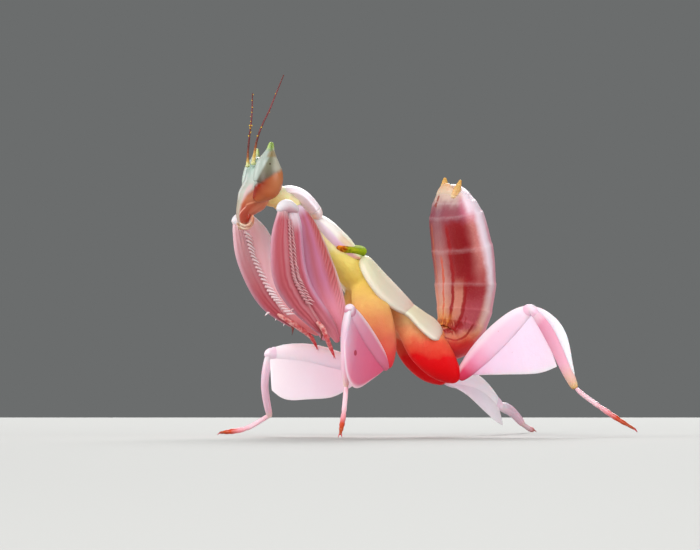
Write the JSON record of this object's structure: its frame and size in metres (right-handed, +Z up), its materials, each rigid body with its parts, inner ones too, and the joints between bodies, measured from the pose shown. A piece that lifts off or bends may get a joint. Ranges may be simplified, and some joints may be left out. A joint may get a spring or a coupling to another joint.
{
  "type": "orchid mantis",
  "caption": "Life-size late nymph of an orchid mantis, standing with its forelegs folded, petal-lobed legs spread and its abdomen curled up over its back.",
  "frame": {"origin": "middle of the stance's bounding box, on the floor under the feet", "axes": "+Z up, the mantis faces -X, its right side is +Y"},
  "size_m": [0.0423, 0.0353, 0.0361],
  "materials": {
    "cream_shell": "satin, waxy, faintly translucent white",
    "face": "satin, pale green-white going orange towards the mouth",
    "mouth": "satin, orange-red with a pale rim",
    "eye": "glossy, pale grey-green bands over orange, lime-green tips",
    "antenna": "satin, dark red-brown, yellow at the base",
    "yellow_skin": "satin, yellow going orange",
    "abdomen": "satin, rose with dark red stripes and pale sides",
    "tail": "satin, cream and orange",
    "foreleg": "satin, rose pink with lilac-white ridges",
    "walking_coxa": "satin, orange going deep red at the bottom",
    "petal_leg": "satin, translucent pale pink"
  },
  "bodies": {
    "root": {"eye_left": "eye", "eye_right": "eye", "antenna_left": "antenna", "antenna_right": "antenna", "mouthparts": "mouth", "head": "face", "neck": "yellow_skin", "pronotum": "cream_shell", "wing_pad_fore_left": "cream_shell", "wing_pad_hind_left": "cream_shell", "wing_pad_fore_right": "cream_shell", "wing_pad_hind_right": "cream_shell", "prothorax": "yellow_skin", "mesothorax": "cream_shell", "metathorax": "cream_shell", "tail_plate": "tail", "cercus_left": "tail", "cercus_right": "tail", "abdomen_base": "abdomen", "abdomen_middle": "abdomen", "abdomen_tip": "abdomen", "foreleg_left_coxa": "foreleg", "foreleg_left_femur": "foreleg", "foreleg_left_tibia": "foreleg", "foreleg_left_tarsus": "foreleg", "foreleg_right_coxa": "foreleg", "foreleg_right_femur": "foreleg", "foreleg_right_tibia": "foreleg", "foreleg_right_tarsus": "foreleg", "midleg_left_coxa": "walking_coxa", "midleg_left_femur": "petal_leg", "midleg_left_tibia": "petal_leg", "midleg_left_tarsus": "petal_leg", "midleg_right_coxa": "walking_coxa", "midleg_right_femur": "petal_leg", "midleg_right_tibia": "petal_leg", "midleg_right_tarsus": "petal_leg", "hindleg_left_coxa": "walking_coxa", "hindleg_left_femur": "petal_leg", "hindleg_left_tibia": "petal_leg", "hindleg_left_tarsus": "petal_leg", "hindleg_right_coxa": "walking_coxa", "hindleg_right_femur": "petal_leg", "hindleg_right_tibia": "petal_leg", "hindleg_right_tarsus": "petal_leg"}
  },
  "joints": []
}
